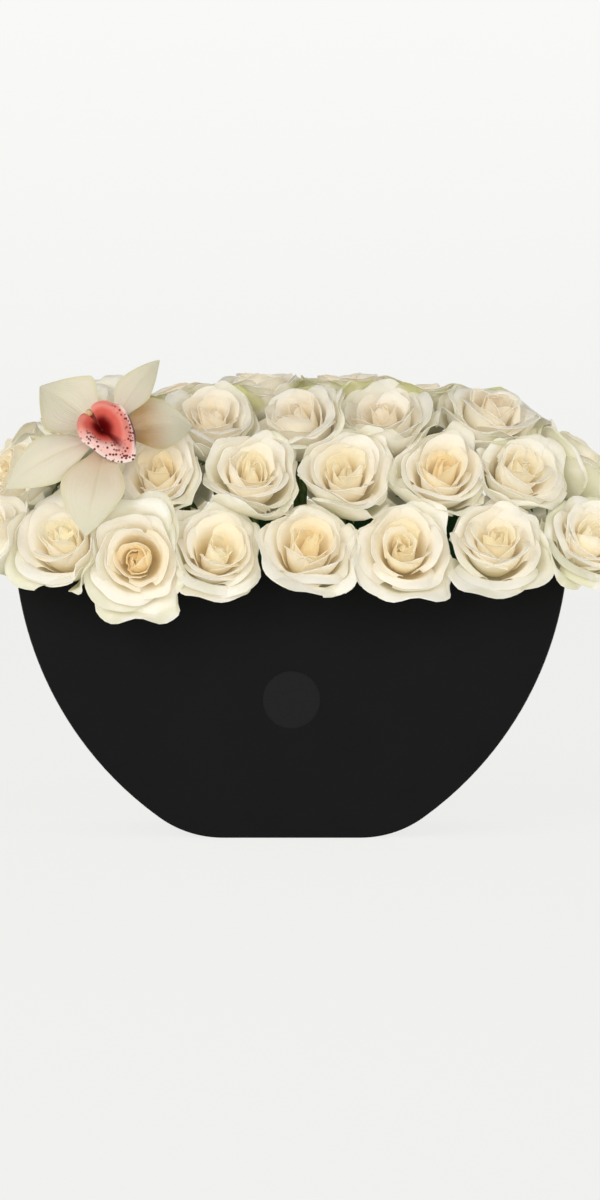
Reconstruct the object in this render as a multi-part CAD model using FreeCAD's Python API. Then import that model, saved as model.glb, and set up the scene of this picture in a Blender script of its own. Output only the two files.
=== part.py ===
import FreeCAD, Part
import math
import os

# Half-moon flower box: a rigid black box with two flat faces, a lift-out liner filled with wet foam,
# and a mound of cut roses with one orchid.
# Millimetres. X runs along the box, Y from its front to its back, Z up.
# The origin is under the middle of the base.

Vector = FreeCAD.Vector

# Box shell
rim_width = 386.0
rim_height = 188.0
box_depth = 120.0
side_radius = 244.0      # the long curve of each end, from the rim down
rim_flare = 5.7          # degrees that the end walls lean out at the rim
corner_radius = 75.0     # where an end curve runs into the flat base
board = 2.0              # greyboard
paper = 0.3              # black cover paper
turn_in = 15.0           # cover paper folded over the rim and down the inside
seal_diameter = 40.0
seal_height = 97.0       # centre of the round seal above the table
seal_thickness = 0.25

# Lift-out insert
insert_clearance = 0.5
liner_wall = 0.6
liner_below_rim = 22.0   # level with the bricks of foam, out of sight
foam_clearance = 0.3
brick_height = 80.0
crown_length = 344.0     # the raised foam that the stems go into
crown_depth = 90.0
crown_height = 60.0
crown_chamfer = 15.0

# Roses
rose_radius = 28.5       # across the outer petals, halved
rose_face = 34.0         # from the hip to the plane of the open face
petals_in_whorl = 5
hip_radius = 6.5
hip_length = 9.0
sepal_reach = 17.0
sepal_thickness = 1.0
stem_radius = 2.6
stem_hole_clearance = 0.05
foot_draw_in = 0.84      # how far stems close up towards the middle inside the foam, along and across
foot_draw_back = 0.42
foot_height = 20.0       # lowest stem ends above the bottom of the raised foam
foot_spread = 14.0       # the highest stem ends stand this much above the lowest
golden_angle = 137.5     # turns each rose and whorl against the one before
size_variation = 0.03

# Rows of roses, front and back. Each row follows a superellipse: its half-length and half-depth,
# how square its ends are, the height of its middle, how much its ends rise,
# and how far the blooms look up, in degrees.
low_ring = dict(half_length=236.0, half_depth=100.0, square=4.0, height=205.0, rise=11.0, lean=14.0)
mid_ring = dict(half_length=205.0, half_depth=80.0, square=3.0, height=255.0, rise=6.0, lean=33.0)
high_ring = dict(half_length=168.0, half_depth=50.0, square=2.5, height=295.0, rise=5.0, lean=54.0)
crown_line = dict(half_length=240.0, half_depth=1.0, square=2.5, height=319.0, rise=-8.0, lean=84.0)
front, back = -1, 1
rose_rows = {
    "front_low": (low_ring, front, [-214, -157, -105, -53, 11, 78, 143, 211]),
    "front_mid": (mid_ring, front, [-196, -95, -27, 38, 105, 161, 204.6]),
    "front_high": (high_ring, front, [-150, -55, 9, 67, 141]),
    "crown": (crown_line, front, [-82, -23, 38, 97]),
    "back_high": (high_ring, back, [-126, -58, 4, 66, 147]),
    "back_mid": (mid_ring, back, [-203, -156, -85, -24, 36, 97, 175]),
    "back_low": (low_ring, back, [-196, -117, -54, 6, 66, 130, 198]),
    "end_low": (low_ring, back, [-235.99, 235.99]),
}
shared_node_rows = ("back_mid", "back_low")
drooping_rose = "front_low_rose_3"
droop = dict(height=-11.0, lean=-14.0, forward=8.0)

# Orchid
orchid_place = Vector(-126, -92, 282)
orchid_lean = 22.0       # degrees that it looks up
orchid_turn = -8.0       # degrees that it looks to the left
orchid_roll = 45.0       # degrees that its top sepal leans to the left
tepal_length = 58.0
tepal_thickness = 1.6
tepal_cup = 0.16         # rise of a tepal's edges, as a share of its half-width
claw_gap = 1.0           # between the column and the foot of each tepal
sepal_width = 34.0
petal_width = 33.0
lip_length = 36.0
lip_wall = 1.6
column_length = 20.0
column_radius = 4.0
column_tip_radius = 3.2
ovary_length = 8.0
pedicel_radius = 2.2
tube_radius = 6.0
tube_length = 48.0
tube_wall = 1.0
tube_cap_height = 3.0
tube_taper = 0.3         # radius of the tube's pointed end, as a share of its own
pedicel_in_tube = 0.6    # how far down the tube the pedicel reaches
pedicel_run = Vector(-14, 30, -34)   # from the back of the bloom to the mouth of its water tube


def mirrored(points):
    return [Vector(-p.x, p.y, p.z) for p in reversed(points)]


# Centres of the two arcs that make each end of the box, right-hand side
flare = math.radians(rim_flare)
side_arm = Vector(-math.cos(flare), 0, math.sin(flare)) * side_radius
side_centre = Vector(rim_width / 2, 0, rim_height) + side_arm
corner_rise = side_centre.z - corner_radius
base_half = side_centre.x + math.sqrt((side_radius - corner_radius) ** 2 - corner_rise ** 2)
corner_centre = Vector(base_half, 0, corner_radius)


def bowl_slab(inset, top, y_low, y_high):
    """Solid with the box's half-moon outline, drawn in by inset, from y_low to y_high, flat at the top."""
    side, corner = side_radius - inset, corner_radius - inset
    along = (corner_centre - side_centre).normalize()
    joint = side_centre + along * side
    base = Vector(base_half, 0, inset)
    rim = Vector(side_centre.x + math.sqrt(side ** 2 - (side_centre.z - top) ** 2), 0, top)
    corner_middle = corner_centre + (along + Vector(0, 0, -1)).normalize() * corner
    side_middle = side_centre + ((joint - side_centre) + (rim - side_centre)).normalize() * side
    right = [base, corner_middle, joint, side_middle, rim]
    left = mirrored(right)
    edges = [
        Part.LineSegment(left[4], right[0]),
        Part.Arc(right[0], right[1], right[2]),
        Part.Arc(right[2], right[3], right[4]),
        Part.LineSegment(right[4], left[0]),
        Part.Arc(left[0], left[1], left[2]),
        Part.Arc(left[2], left[3], left[4]),
    ]
    face = Part.Face(Part.Wire([e.toShape() for e in edges]))
    face.translate(Vector(0, y_low, 0))
    return face.extrude(Vector(0, y_high - y_low, 0))


def block(x_low, x_high, y_low, y_high, z_low, z_high):
    return Part.makeBox(x_high - x_low, y_high - y_low, z_high - z_low, Vector(x_low, y_low, z_low))


def bowl_layer(inset, z_low, z_high, y_low, y_high):
    """The part of a half-moon slab between two heights."""
    wide = rim_width
    return bowl_slab(inset, z_high, y_low, y_high).common(block(-wide, wide, y_low, y_high, z_low, z_high))


def bowl_band(outer, inner, z_low, z_high, half_depth):
    """A strip that follows the ends and base of the box, between two insets and two heights."""
    hollow = bowl_slab(inner, z_high + board, -half_depth - board, half_depth + board)
    return bowl_layer(outer, z_low, z_high, -half_depth, half_depth).cut(hollow)


# Box: boards, cover papers and seal
half_depth = box_depth / 2
inside_board = paper + board
inside_paper = inside_board + paper


def flat_board():
    return bowl_slab(paper, rim_height - paper, -half_depth + paper, -half_depth + inside_board)


def flat_cover():
    """Cover paper of a flat face, with its flap folded over the rim and down the inside."""
    sheet = bowl_slab(0, rim_height, -half_depth, -half_depth + paper)
    fold = bowl_layer(paper, rim_height - paper, rim_height, -half_depth, -half_depth + inside_paper)
    flap = bowl_layer(inside_paper, rim_height - turn_in, rim_height,
                      -half_depth + inside_board, -half_depth + inside_paper)
    return sheet.fuse([fold, flap]).removeSplitter()


def band_board():
    return bowl_band(paper, inside_board, 0, rim_height - paper, half_depth - inside_board)


def end_covers():
    """Cover papers of the two curved ends, each with its own turned-in flap."""
    skin = bowl_band(0, paper, 0, rim_height, half_depth - paper)
    inner_half = half_depth - inside_paper
    fold = bowl_band(0, inside_paper, rim_height - paper, rim_height, inner_half)
    flap = bowl_band(inside_board, inside_paper, rim_height - turn_in, rim_height, inner_half)
    whole = skin.fuse([fold, flap]).removeSplitter()
    right = whole.common(block(base_half, rim_width, -half_depth, half_depth, 0, rim_height))
    left = whole.common(block(-rim_width, -base_half, -half_depth, half_depth, 0, rim_height))
    return {"left_end_cover": left, "right_end_cover": right}


def turned_to_back(shape):
    copy = shape.copy()
    copy.rotate(Vector(0, 0, 0), Vector(0, 0, 1), 180)
    return copy


def box_parts():
    inner_half = half_depth - inside_board
    floor = inside_board
    seal_place = Vector(0, -half_depth, seal_height)
    return {
        "front_board": flat_board(),
        "back_board": turned_to_back(flat_board()),
        "band_board": band_board(),
        "base_stiffener": block(-base_half, base_half, -inner_half, inner_half, floor, floor + board),
        "front_cover": flat_cover(),
        "back_cover": turned_to_back(flat_cover()),
        **end_covers(),
        "base_sheet": block(-base_half, base_half, -half_depth + paper, half_depth - paper, 0, paper),
        "front_seal": Part.makeCylinder(seal_diameter / 2, seal_thickness, seal_place, Vector(0, -1, 0)),
    }


# Insert: liner and foam
liner_inset = inside_paper + insert_clearance
liner_floor = inside_board + board + insert_clearance
foam_inset = liner_inset + liner_wall + foam_clearance
foam_floor = liner_floor + liner_wall + foam_clearance
foam_half = half_depth - foam_inset
upper_bricks = foam_floor + brick_height
crown_floor = upper_bricks + brick_height


def liner_tray():
    outer_half = half_depth - liner_inset
    inner_half = outer_half - liner_wall
    inside = liner_inset + liner_wall
    top = rim_height - liner_below_rim
    outer = bowl_layer(liner_inset, liner_floor, top, -outer_half, outer_half)
    inner = bowl_layer(inside, liner_floor + liner_wall, top + board, -inner_half, inner_half)
    return outer.cut(inner)


def foam_crown(stem_holes):
    """The raised foam, with its top edges pared away and a hole where each stem is pushed in."""
    x, y = crown_length / 2, crown_depth / 2
    top = crown_floor + crown_height
    body = block(-x, x, -y, y, crown_floor, top)
    top_edges = [e for e in body.Edges if e.BoundBox.ZMin > top - paper]
    return body.makeChamfer(crown_chamfer, top_edges).cut(stem_holes)


def foam_parts(stem_holes):
    upper = bowl_layer(foam_inset, upper_bricks, crown_floor, -foam_half, foam_half)
    halves = block(0, rim_width, -half_depth, half_depth, 0, rim_height)
    return {
        "foam_lower": bowl_layer(foam_inset, foam_floor, upper_bricks, -foam_half, foam_half),
        "foam_left": upper.cut(halves),
        "foam_right": upper.common(halves),
        "foam_crown": foam_crown(stem_holes),
    }


def faceted_skin(rings, start, end):
    """Closed solid over rings of points, joined by flat triangles and closed to one point at each end."""
    count = len(rings[0])
    triangles = []
    for k in range(count):
        n = (k + 1) % count
        triangles.append((start, rings[0][n], rings[0][k]))
        for low, high in zip(rings, rings[1:]):
            triangles.append((low[k], low[n], high[n]))
            triangles.append((low[k], high[n], high[k]))
        triangles.append((end, rings[-1][k], rings[-1][n]))
    faces = [Part.Face(Part.makePolygon([a, b, c, a])) for a, b, c in triangles]
    solid = Part.makeSolid(Part.makeShell(faces))
    return solid if solid.Volume > 0 else solid.reversed()


# Profile of a rose from its hip to its heart, as shares of its radius and face height.
# Each whorl of petals climbs to a lobed lip and drops into the groove behind the next whorl.
# Radius, height, depth of the petal lobes, and half-turns of a petal that the whorl is set round by.
rose_profile = [
    (0.23, 0.00, 0.00, 0),
    (0.80, 0.30, 0.02, 0),
    (1.00, 0.76, 0.07, 0),
    (0.90, 0.80, 0.07, 0),
    (0.68, 0.48, 0.00, 1),
    (0.78, 1.00, 0.06, 1),
    (0.68, 1.02, 0.06, 1),
    (0.45, 0.74, 0.00, 2),
    (0.52, 1.18, 0.05, 2),
    (0.42, 1.19, 0.05, 2),
    (0.22, 0.98, 0.00, 3),
    (0.25, 1.28, 0.02, 3),
    (0.14, 1.26, 0.02, 3),
]
rose_heart = 1.12


def rose_head():
    """A rose on the Z axis with its hip end at the origin: nested whorls of petals round a bud."""
    half_petal = math.pi / petals_in_whorl
    rings = []
    for radius, height, lobe, set_round in rose_profile:
        ring = []
        for k in range(2 * petals_in_whorl):
            swell = 1 + lobe * (1 if (k + set_round) % 2 else -1)
            angle = half_petal * k
            ring.append(Vector(rose_radius * radius * swell * math.cos(angle),
                               rose_radius * radius * swell * math.sin(angle),
                               rose_face * height * (1 + (swell - 1) / 2)))
        rings.append(ring)
    return faceted_skin(rings, Vector(0, 0, 0), Vector(0, 0, rose_face * rose_heart))


def calyx():
    """The green hip under a rose, with its star of sepals, pointing down from the origin."""
    hip = Part.makeCone(stem_radius, hip_radius, hip_length, Vector(0, 0, -hip_length))
    points = []
    for k in range(2 * petals_in_whorl):
        reach = sepal_reach if k % 2 == 0 else hip_radius
        angle = math.pi * k / petals_in_whorl
        points.append(Vector(reach * math.cos(angle), reach * math.sin(angle), -2 * sepal_thickness))
    star = Part.Face(Part.makePolygon(points + points[:1])).extrude(Vector(0, 0, sepal_thickness))
    return hip.fuse(star).removeSplitter()


def looking_along(direction, place, spin=0.0):
    """Placement that turns +Z to a direction and moves the origin to a place."""
    turn = FreeCAD.Rotation(Vector(0, 0, 1), direction)
    return FreeCAD.Placement(place, turn.multiply(FreeCAD.Rotation(Vector(0, 0, 1), spin)))


def rose_stand(name, ring, side, x):
    """Where a rose's hip sits and which way it looks, from its row's ring and its place along the row."""
    share = abs(x) / ring["half_length"]
    square = ring["square"]
    left_over = (1 - share ** square) ** (1 / square)
    y = side * ring["half_depth"] * left_over
    height = ring["height"] + ring["rise"] * share ** 2
    lean = ring["lean"]
    if name == drooping_rose:
        y += side * droop["forward"]
        height += droop["height"]
        lean += droop["lean"]
    out_x = math.copysign(share ** (square - 1), x) / ring["half_length"]
    out_y = side * left_over ** (square - 1) / ring["half_depth"]
    out = Vector(out_x, out_y, 0).normalize()
    up = math.radians(lean)
    look = out * math.cos(up) + Vector(0, 0, math.sin(up))
    return Vector(x, y, height) - look * rose_face, look


def stem_foot(hip):
    """Where a stem ends in the foam: drawn in towards the middle of the crown, deeper from the low rows."""
    depth_share = min((hip.z - rim_height) / (crown_line["height"] - rim_height), 1.0)
    height = crown_floor + foot_height + foot_spread * depth_share
    return Vector(hip.x * foot_draw_in, hip.y * foot_draw_back, height)


def cylinder_between(start, end, radius):
    return Part.makeCylinder(radius, (end - start).Length, start, end - start)


def rose_parts():
    """Heads by node, all stems with their calyxes, and the cutters for the holes in the foam."""
    head, hip_star = rose_head(), calyx()
    heads, stems, holes = {}, [], []
    count = 0
    for row, (ring, side, places) in rose_rows.items():
        for n, x in enumerate(places, 1):
            name = f"{row}_rose_{n}"
            hip, look = rose_stand(name, ring, side, x)
            size = 1 + size_variation * math.sin(count * golden_angle)
            stand = looking_along(look, hip, count * golden_angle)
            bloom = head.copy()
            bloom.scale(size)
            bloom.Placement = stand
            node = f"{row}_roses" if row in shared_node_rows else name
            heads.setdefault(node, []).append(bloom)
            green = hip_star.copy()
            green.Placement = stand
            neck = hip - look * (hip_length - stem_radius)
            foot = stem_foot(hip)
            stems.append(green.fuse(cylinder_between(neck, foot, stem_radius)))
            holes.append(cylinder_between(neck, foot, stem_radius + stem_hole_clearance))
            count += 1
    return {node: Part.makeCompound(group) for node, group in heads.items()}, stems, holes


# An orchid tepal from its claw to its tip: share of its length, share of its half-width, forward bow
tepal_stations = [
    (0.06, 0.22, 0.00),
    (0.30, 0.78, 0.05),
    (0.58, 1.00, 0.07),
    (0.82, 0.78, 0.04),
    (0.95, 0.40, 0.00),
]


def tepal(width):
    """A blade along +X from the origin, bowed forward (+Z) and a little cupped."""
    rings = []
    for along, wide, bow in tepal_stations:
        x, half, z = tepal_length * along, width / 2 * wide, tepal_length * bow
        edge, t = half * tepal_cup, tepal_thickness / 2
        rings.append([Vector(x, -half, z + edge), Vector(x, 0, z - t), Vector(x, half, z + edge),
                      Vector(x, half / 2, z + edge / 3 + t), Vector(x, 0, z + t),
                      Vector(x, -half / 2, z + edge / 3 + t)])
    return faceted_skin(rings, Vector(0, 0, 0), Vector(tepal_length, 0, -tepal_thickness))


def fan(blade, angles, offset):
    """Copies of a blade set round the flower's face at these angles from its top, clear of the column."""
    fanned = []
    for angle in angles:
        copy = blade.copy()
        copy.translate(Vector(column_radius + claw_gap, 0, offset))
        copy.rotate(Vector(0, 0, 0), Vector(0, 0, 1), 90 + angle)
        fanned.append(copy)
    return Part.makeCompound(fanned)


# The lip's trough: share of its length, half-width, and heights of floor and edges above the flower's face
lip_stations = [
    (0.00, 4.5, 3.0, 10.0),
    (0.35, 12.0, 4.0, 20.0),
    (0.68, 15.0, 8.0, 20.0),
    (1.00, 10.0, 16.0, 20.0),
]


def orchid_lip():
    """A trough below the column, with upturned sides and a rolled front lobe."""
    rings = []
    for along, half, floor, edge in lip_stations:
        y = -column_radius - 2 * claw_gap - lip_length * along
        bed = half / 2
        inner, raised = bed - lip_wall, floor + lip_wall
        under = [(-half, edge), (-bed, floor), (bed, floor), (half, edge)]
        over = [(inner, raised), (-inner, raised)]
        rings.append([Vector(x, y, z) for x, z in under + over])
    foot = Vector(0, rings[0][0].y + lip_wall, lip_stations[0][2] + lip_wall / 2)
    tip = Vector(0, rings[-1][0].y - lip_wall, lip_stations[-1][2] + lip_wall / 2)
    return faceted_skin(rings, foot, tip)


def orchid_column():
    """The column: a short tapered post with a rounded cap, over the lip, on the ovary behind the face."""
    post = Part.makeCone(column_radius, column_tip_radius, column_length)
    cap = Part.makeSphere(column_tip_radius, Vector(0, 0, column_length))
    ovary = Part.makeCone(pedicel_radius, column_radius, ovary_length, Vector(0, 0, -ovary_length))
    return post.fuse([cap, ovary]).removeSplitter()


def tube_form(top, direction, radius):
    """Outer form of the pointed water tube with its mouth at top, running along a direction."""
    body = Part.makeCylinder(radius, tube_length, top, direction)
    point = Part.makeCone(radius, radius * tube_taper, radius * 2, top + direction * tube_length, direction)
    return body.fuse(point).removeSplitter()


def water_tube(top, direction):
    bore = Part.makeCylinder(tube_radius - tube_wall, tube_length, top, direction)
    return tube_form(top, direction, tube_radius).cut(bore)


def tube_cap(top, direction):
    """Soft cap over the mouth of the water tube, with a hole for the pedicel."""
    start = top - direction * tube_cap_height
    rim = Part.makeCylinder(tube_radius + tube_wall, tube_cap_height, start, direction)
    hole = Part.makeCylinder(pedicel_radius + stem_hole_clearance, tube_cap_height, start, direction)
    return rim.cut(hole)


def orchid_parts():
    """The orchid's nodes, and the cutter for the hole that its water tube makes in the foam."""
    lean, turn = math.radians(orchid_lean), math.radians(orchid_turn)
    look = Vector(math.sin(turn) * math.cos(lean), -math.cos(turn) * math.cos(lean), math.sin(lean))
    side = Vector(0, 0, 1).cross(look).normalize()
    up = look.cross(side)
    facing = FreeCAD.Rotation(side, up, look, "ZXY")
    rolled = FreeCAD.Rotation(Vector(0, 0, 1), orchid_roll)
    stand = FreeCAD.Placement(orchid_place, facing.multiply(rolled))
    shapes = {
        "orchid_sepals": fan(tepal(sepal_width), (0, 144, 216), -tepal_thickness * 2),
        "orchid_petals": fan(tepal(petal_width), (72, 288), tepal_thickness),
        "orchid_lip": orchid_lip(),
        "orchid_column": orchid_column(),
    }
    for shape in shapes.values():
        shape.Placement = stand
    neck = stand.multVec(Vector(0, 0, -ovary_length + pedicel_radius))
    tube_top = orchid_place + pedicel_run
    run = (tube_top - neck).normalize()
    pedicel = cylinder_between(neck, tube_top + run * tube_length * pedicel_in_tube, pedicel_radius)
    shapes["orchid_column"] = shapes["orchid_column"].fuse(pedicel).removeSplitter()
    shapes["orchid_water_tube"] = water_tube(tube_top, run)
    shapes["orchid_tube_cap"] = tube_cap(tube_top, run)
    return shapes, tube_form(tube_top, run, tube_radius + stem_hole_clearance)


def all_parts():
    heads, stems, holes = rose_parts()
    orchid, tube_hole = orchid_parts()
    return {
        **box_parts(),
        "liner_tray": liner_tray(),
        **foam_parts(holes + [tube_hole]),
        "rose_stems": Part.makeCompound(stems),
        **heads,
        **orchid,
    }


def main():
    os.makedirs("parts", exist_ok=True)
    for node, shape in all_parts().items():
        shape.exportStep(f"parts/{node}.step")
        print(f"{node}: {len(shape.Solids)} solids, {shape.Volume / 1000:.2f} cm3, valid {shape.isValid()}")


if __name__ == "__main__":
    main()
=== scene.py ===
import math

import bpy
import numpy as np
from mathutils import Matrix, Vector


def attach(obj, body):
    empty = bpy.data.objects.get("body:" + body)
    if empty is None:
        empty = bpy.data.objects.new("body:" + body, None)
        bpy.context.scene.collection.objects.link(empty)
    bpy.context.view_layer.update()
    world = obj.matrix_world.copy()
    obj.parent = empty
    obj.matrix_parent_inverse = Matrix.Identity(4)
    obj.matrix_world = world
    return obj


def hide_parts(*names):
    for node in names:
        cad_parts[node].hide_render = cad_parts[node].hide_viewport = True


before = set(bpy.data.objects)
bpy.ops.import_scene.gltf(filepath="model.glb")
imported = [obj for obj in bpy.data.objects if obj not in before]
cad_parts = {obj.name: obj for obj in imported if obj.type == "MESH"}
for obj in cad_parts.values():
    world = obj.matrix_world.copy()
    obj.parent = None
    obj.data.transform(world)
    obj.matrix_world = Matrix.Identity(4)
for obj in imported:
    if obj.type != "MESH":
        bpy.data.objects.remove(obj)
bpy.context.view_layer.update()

# Half-moon flower box with a mound of cream roses and one orchid. Metres, in the frame's own axes.

mm = 0.001
anyTurn = 6.28      # radians, how far round a turn by chance may go


# small helpers for arrays

def mix(a, b, t):
    return a + (b - a) * t


def smooth(low, high, x):
    t = np.clip((x - low) / (high - low), 0, 1)
    return t * t * (3 - 2 * t)


def unit(v):
    return v / np.maximum(np.linalg.norm(v, axis=-1, keepdims=True), 1e-12)


def basisAlong(look, spin=0.0):
    # three columns: two directions across and the direction itself, turned about it by spin. They start
    # from the upright, or from Y where the direction is nearly upright
    look = unit(np.asarray(look, float))
    helper = np.array([0.0, 0.0, 1.0]) if abs(look[2]) < 0.95 else np.array([0.0, 1.0, 0.0])
    side = unit(np.cross(helper, look))
    up = np.cross(look, side)
    c, s = math.cos(spin), math.sin(spin)
    return np.stack([c * side + s * up, c * up - s * side, look], axis=1)


# meshes

def meshPiece(name, verts, faces, body, finish, uv=None, marks=None, sharpAngle=50):
    # faces is a list of arrays of vertex numbers, each array with its own count of corners
    mesh = bpy.data.meshes.new(name)
    corners = np.concatenate([np.asarray(f, np.int32).ravel() for f in faces])
    sizes = np.concatenate([np.full(len(f), f.shape[1]) for f in faces])
    mesh.vertices.add(len(verts))
    mesh.vertices.foreach_set("co", np.asarray(verts, np.float32).ravel())
    mesh.loops.add(len(corners))
    mesh.loops.foreach_set("vertex_index", corners)
    mesh.polygons.add(len(sizes))
    mesh.polygons.foreach_set("loop_start", (np.cumsum(sizes) - sizes).astype(np.int32))
    mesh.update(calc_edges=True)
    if uv is not None:
        layer = mesh.uv_layers.new(name="UVMap")
        layer.data.foreach_set("uv", np.asarray(uv, np.float32)[corners].ravel())
    for key, values in (marks or {}).items():
        mark = mesh.attributes.new(key, "FLOAT", "POINT")
        mark.data.foreach_set("value", np.asarray(values, np.float32))
    mesh.polygons.foreach_set("use_smooth", np.ones(len(sizes), bool))
    mesh.set_sharp_from_angle(angle=math.radians(sharpAngle))
    mesh.materials.append(finish.material)
    piece = bpy.data.objects.new(name, mesh)
    bpy.context.scene.collection.objects.link(piece)
    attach(piece, body)
    return piece


def gridQuads(rows, cols, ring=False):
    # faces of a grid of points, wound so that their normals are along-rows cross along-columns;
    # ring joins the last column to the first
    n = np.arange(rows * cols).reshape(rows, cols)
    if ring:
        n = np.concatenate([n, n[:, :1]], axis=1)
    return np.stack([n[:-1, :-1], n[1:, :-1], n[1:, 1:], n[:-1, 1:]], axis=-1).reshape(-1, 4)


def tubes(paths, radii, sides):
    # a circle of its own radius carried along each path, square to it, with both ends closed to a point
    count, steps, _ = paths.shape
    along = unit(np.gradient(paths, axis=1))
    upright = np.where(np.abs(along[:, :1, 2:]) < 0.9, [0.0, 0.0, 1.0], [1.0, 0.0, 0.0])
    across = unit(np.cross(along, upright))
    over = np.cross(across, along)
    turn = np.linspace(0, 2 * math.pi, sides, endpoint=False)
    spoke = across[:, :, None] * np.cos(turn)[:, None] + over[:, :, None] * np.sin(turn)[:, None]
    rings = paths[:, :, None] + spoke * radii[:, :, None, None]
    poles = paths[:, [0, -1]]
    verts = np.concatenate([rings.reshape(count, -1, 3), poles], axis=1)
    size = steps * sides + 2
    first, last = np.arange(sides), np.arange(sides) + (steps - 1) * sides
    start = np.stack([np.full(sides, size - 2), first, np.roll(first, -1)], axis=-1)
    end = np.stack([np.full(sides, size - 1), np.roll(last, -1), last], axis=-1)
    shift = (np.arange(count) * size)[:, None, None]
    quads = (gridQuads(steps, sides, ring=True)[None] + shift).reshape(-1, 4)
    fans = (np.concatenate([start, end])[None] + shift).reshape(-1, 3)
    share = np.concatenate([np.repeat(np.linspace(0, 1, steps), sides), [0, 1]])
    return verts.reshape(-1, 3), [quads, fans], np.tile(share, count)


def leafShells(sheets, thickness):
    # each sheet, a grid of points, becomes a closed thin shell: the grid pushed out along its normals
    # both ways, with a rim of faces round its edge
    count, rows, cols, _ = sheets.shape
    normal = unit(np.cross(np.gradient(sheets, axis=1), np.gradient(sheets, axis=2)))
    half = np.broadcast_to(np.asarray(thickness, float), sheets.shape[:3])[..., None] / 2
    verts = np.concatenate([(sheets + normal * half).reshape(count, -1, 3),
                            (sheets - normal * half).reshape(count, -1, 3)], axis=1)
    n = np.arange(rows * cols).reshape(rows, cols)
    top = gridQuads(rows, cols)
    loop = np.concatenate([n[:-1, 0], n[-1, :-1], n[:0:-1, -1], n[0, :0:-1]])
    after = np.roll(loop, -1)
    under = rows * cols
    rim = np.stack([after, loop, loop + under, after + under], axis=-1)
    one = np.concatenate([top, top[:, ::-1] + under, rim])
    quads = one[None] + (np.arange(count) * 2 * under)[:, None, None]
    return verts.reshape(-1, 3), [quads.reshape(-1, 4)]


def twice(values):
    # a value per grid point, for the front and the back of every shell
    flat = values.reshape(len(values), -1)
    return np.concatenate([flat, flat], axis=1).ravel()


def sheetUv(across, along):
    # from the -1 to 1 across a sheet and the 0 to 1 along it
    return np.stack([across * 0.5 + 0.5, along], axis=-1)


# shader maths

class Value:
    # a socket of a material's nodes: operators on it add Math nodes
    def __init__(self, tree, socket):
        self.tree, self.socket = tree, socket

    def feed(self, place, value):
        if isinstance(value, Value):
            self.tree.links.new(value.socket, place)
        else:
            place.default_value = value

    def node(self, kind, settings=None, out=0, **inputs):
        # inputs go by a socket's number, as i0, i1 and so on
        made = self.tree.nodes.new(kind)
        for key, value in (settings or {}).items():
            setattr(made, key, value)
        for key, value in inputs.items():
            self.feed(made.inputs[int(key[1:])], value)
        return Value(self.tree, made.outputs[out])

    def math(self, operation, a, b):
        return self.node("ShaderNodeMath", {"operation": operation}, i0=a, i1=b)

    def __add__(self, other):
        return self.math("ADD", self, other)

    __radd__ = __add__

    def __mul__(self, other):
        return self.math("MULTIPLY", self, other)

    __rmul__ = __mul__

    def __rsub__(self, other):
        return self.math("SUBTRACT", other, self)

    def step(self, low, high):
        return self.node("ShaderNodeMapRange", {"interpolation_type": "SMOOTHSTEP"},
                         i0=self, i1=low, i2=high, i3=0.0, i4=1.0)


def linear(r, g, b):
    # screen colour, 0 to 255, to the linear colour that nodes take
    c = np.array([r, g, b]) / 255
    return (*np.where(c <= 0.04045, c / 12.92, ((c + 0.055) / 1.055) ** 2.4).tolist(), 1.0)


class Finish:
    # a material with one Principled shader
    def __init__(self, name, **sockets):
        self.material = bpy.data.materials.new(name)
        self.material.use_nodes = True
        tree = self.material.node_tree
        self.shader = next(n for n in tree.nodes if n.type == "BSDF_PRINCIPLED")
        self.root = Value(tree, None)
        self.set(**sockets)

    def set(self, **sockets):
        for key, value in sockets.items():
            self.root.feed(self.shader.inputs[key.replace("_", " ")], value)

    def node(self, kind, settings=None, out=0, **inputs):
        return self.root.node(kind, settings, out, **inputs)

    def mark(self, name):
        return self.node("ShaderNodeAttribute", {"attribute_name": name}, out=2)      # as one number

    def place(self):
        return self.node("ShaderNodeTexCoord", out=3)      # Object coordinates

    def uv(self):
        return self.node("ShaderNodeTexCoord", out=2)

    def stretched(self, vector, scale):
        return self.node("ShaderNodeMapping", i0=vector, i3=scale)

    def noise(self, vector, scale, detail=4.0, rough=0.55):
        return self.node("ShaderNodeTexNoise", i0=vector, i2=scale, i3=detail, i4=rough)

    def blend(self, factor, a, b):
        return self.node("ShaderNodeMix", {"data_type": "RGBA"}, out=2, i0=factor, i6=a, i7=b)

    def bump(self, height, strength, distance):
        return self.node("ShaderNodeBump", i0=strength, i1=distance, i3=height)


def softFinish(name, rough, shine, depth, radius):
    # a finish that light goes a little way into: depth is the share of it, radius how far for each colour
    return Finish(name, Roughness=rough, Specular_IOR_Level=shine, Subsurface_Weight=depth,
                  Subsurface_Radius=radius, Subsurface_Scale=1.0)


# the photograph's view: a long lens, a little above level

photo = dict(
    height=1200, pixel=0.70 * mm,      # pixels from top to bottom, and the size of one at the box's front
    middleX=6 * mm, middleZ=167 * mm, frontY=-60 * mm,
    distance=2.3, elevation=2.0, sensor=36.0, farthest=50,
)


def makeCamera():
    view = photo
    data = bpy.data.cameras.new("photoCamera")
    data.sensor_fit = "VERTICAL"
    data.sensor_height = view["sensor"]
    data.lens = view["sensor"] * view["distance"] / (view["height"] * view["pixel"])
    data.clip_end = view["farthest"]
    camera = bpy.data.objects.new("photoCamera", data)
    rise = math.radians(view["elevation"])
    camera.location = (view["middleX"], view["frontY"] - view["distance"] * math.cos(rise),
                       view["middleZ"] + view["distance"] * math.sin(rise))
    camera.rotation_euler = (math.pi / 2 - rise, 0, 0)
    bpy.context.scene.collection.objects.link(camera)
    bpy.context.scene.camera = camera
    print("camera set,", round(data.lens, 1), "mm lens")


# a pale round floor, and a sweep round it that only the camera sees

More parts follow.
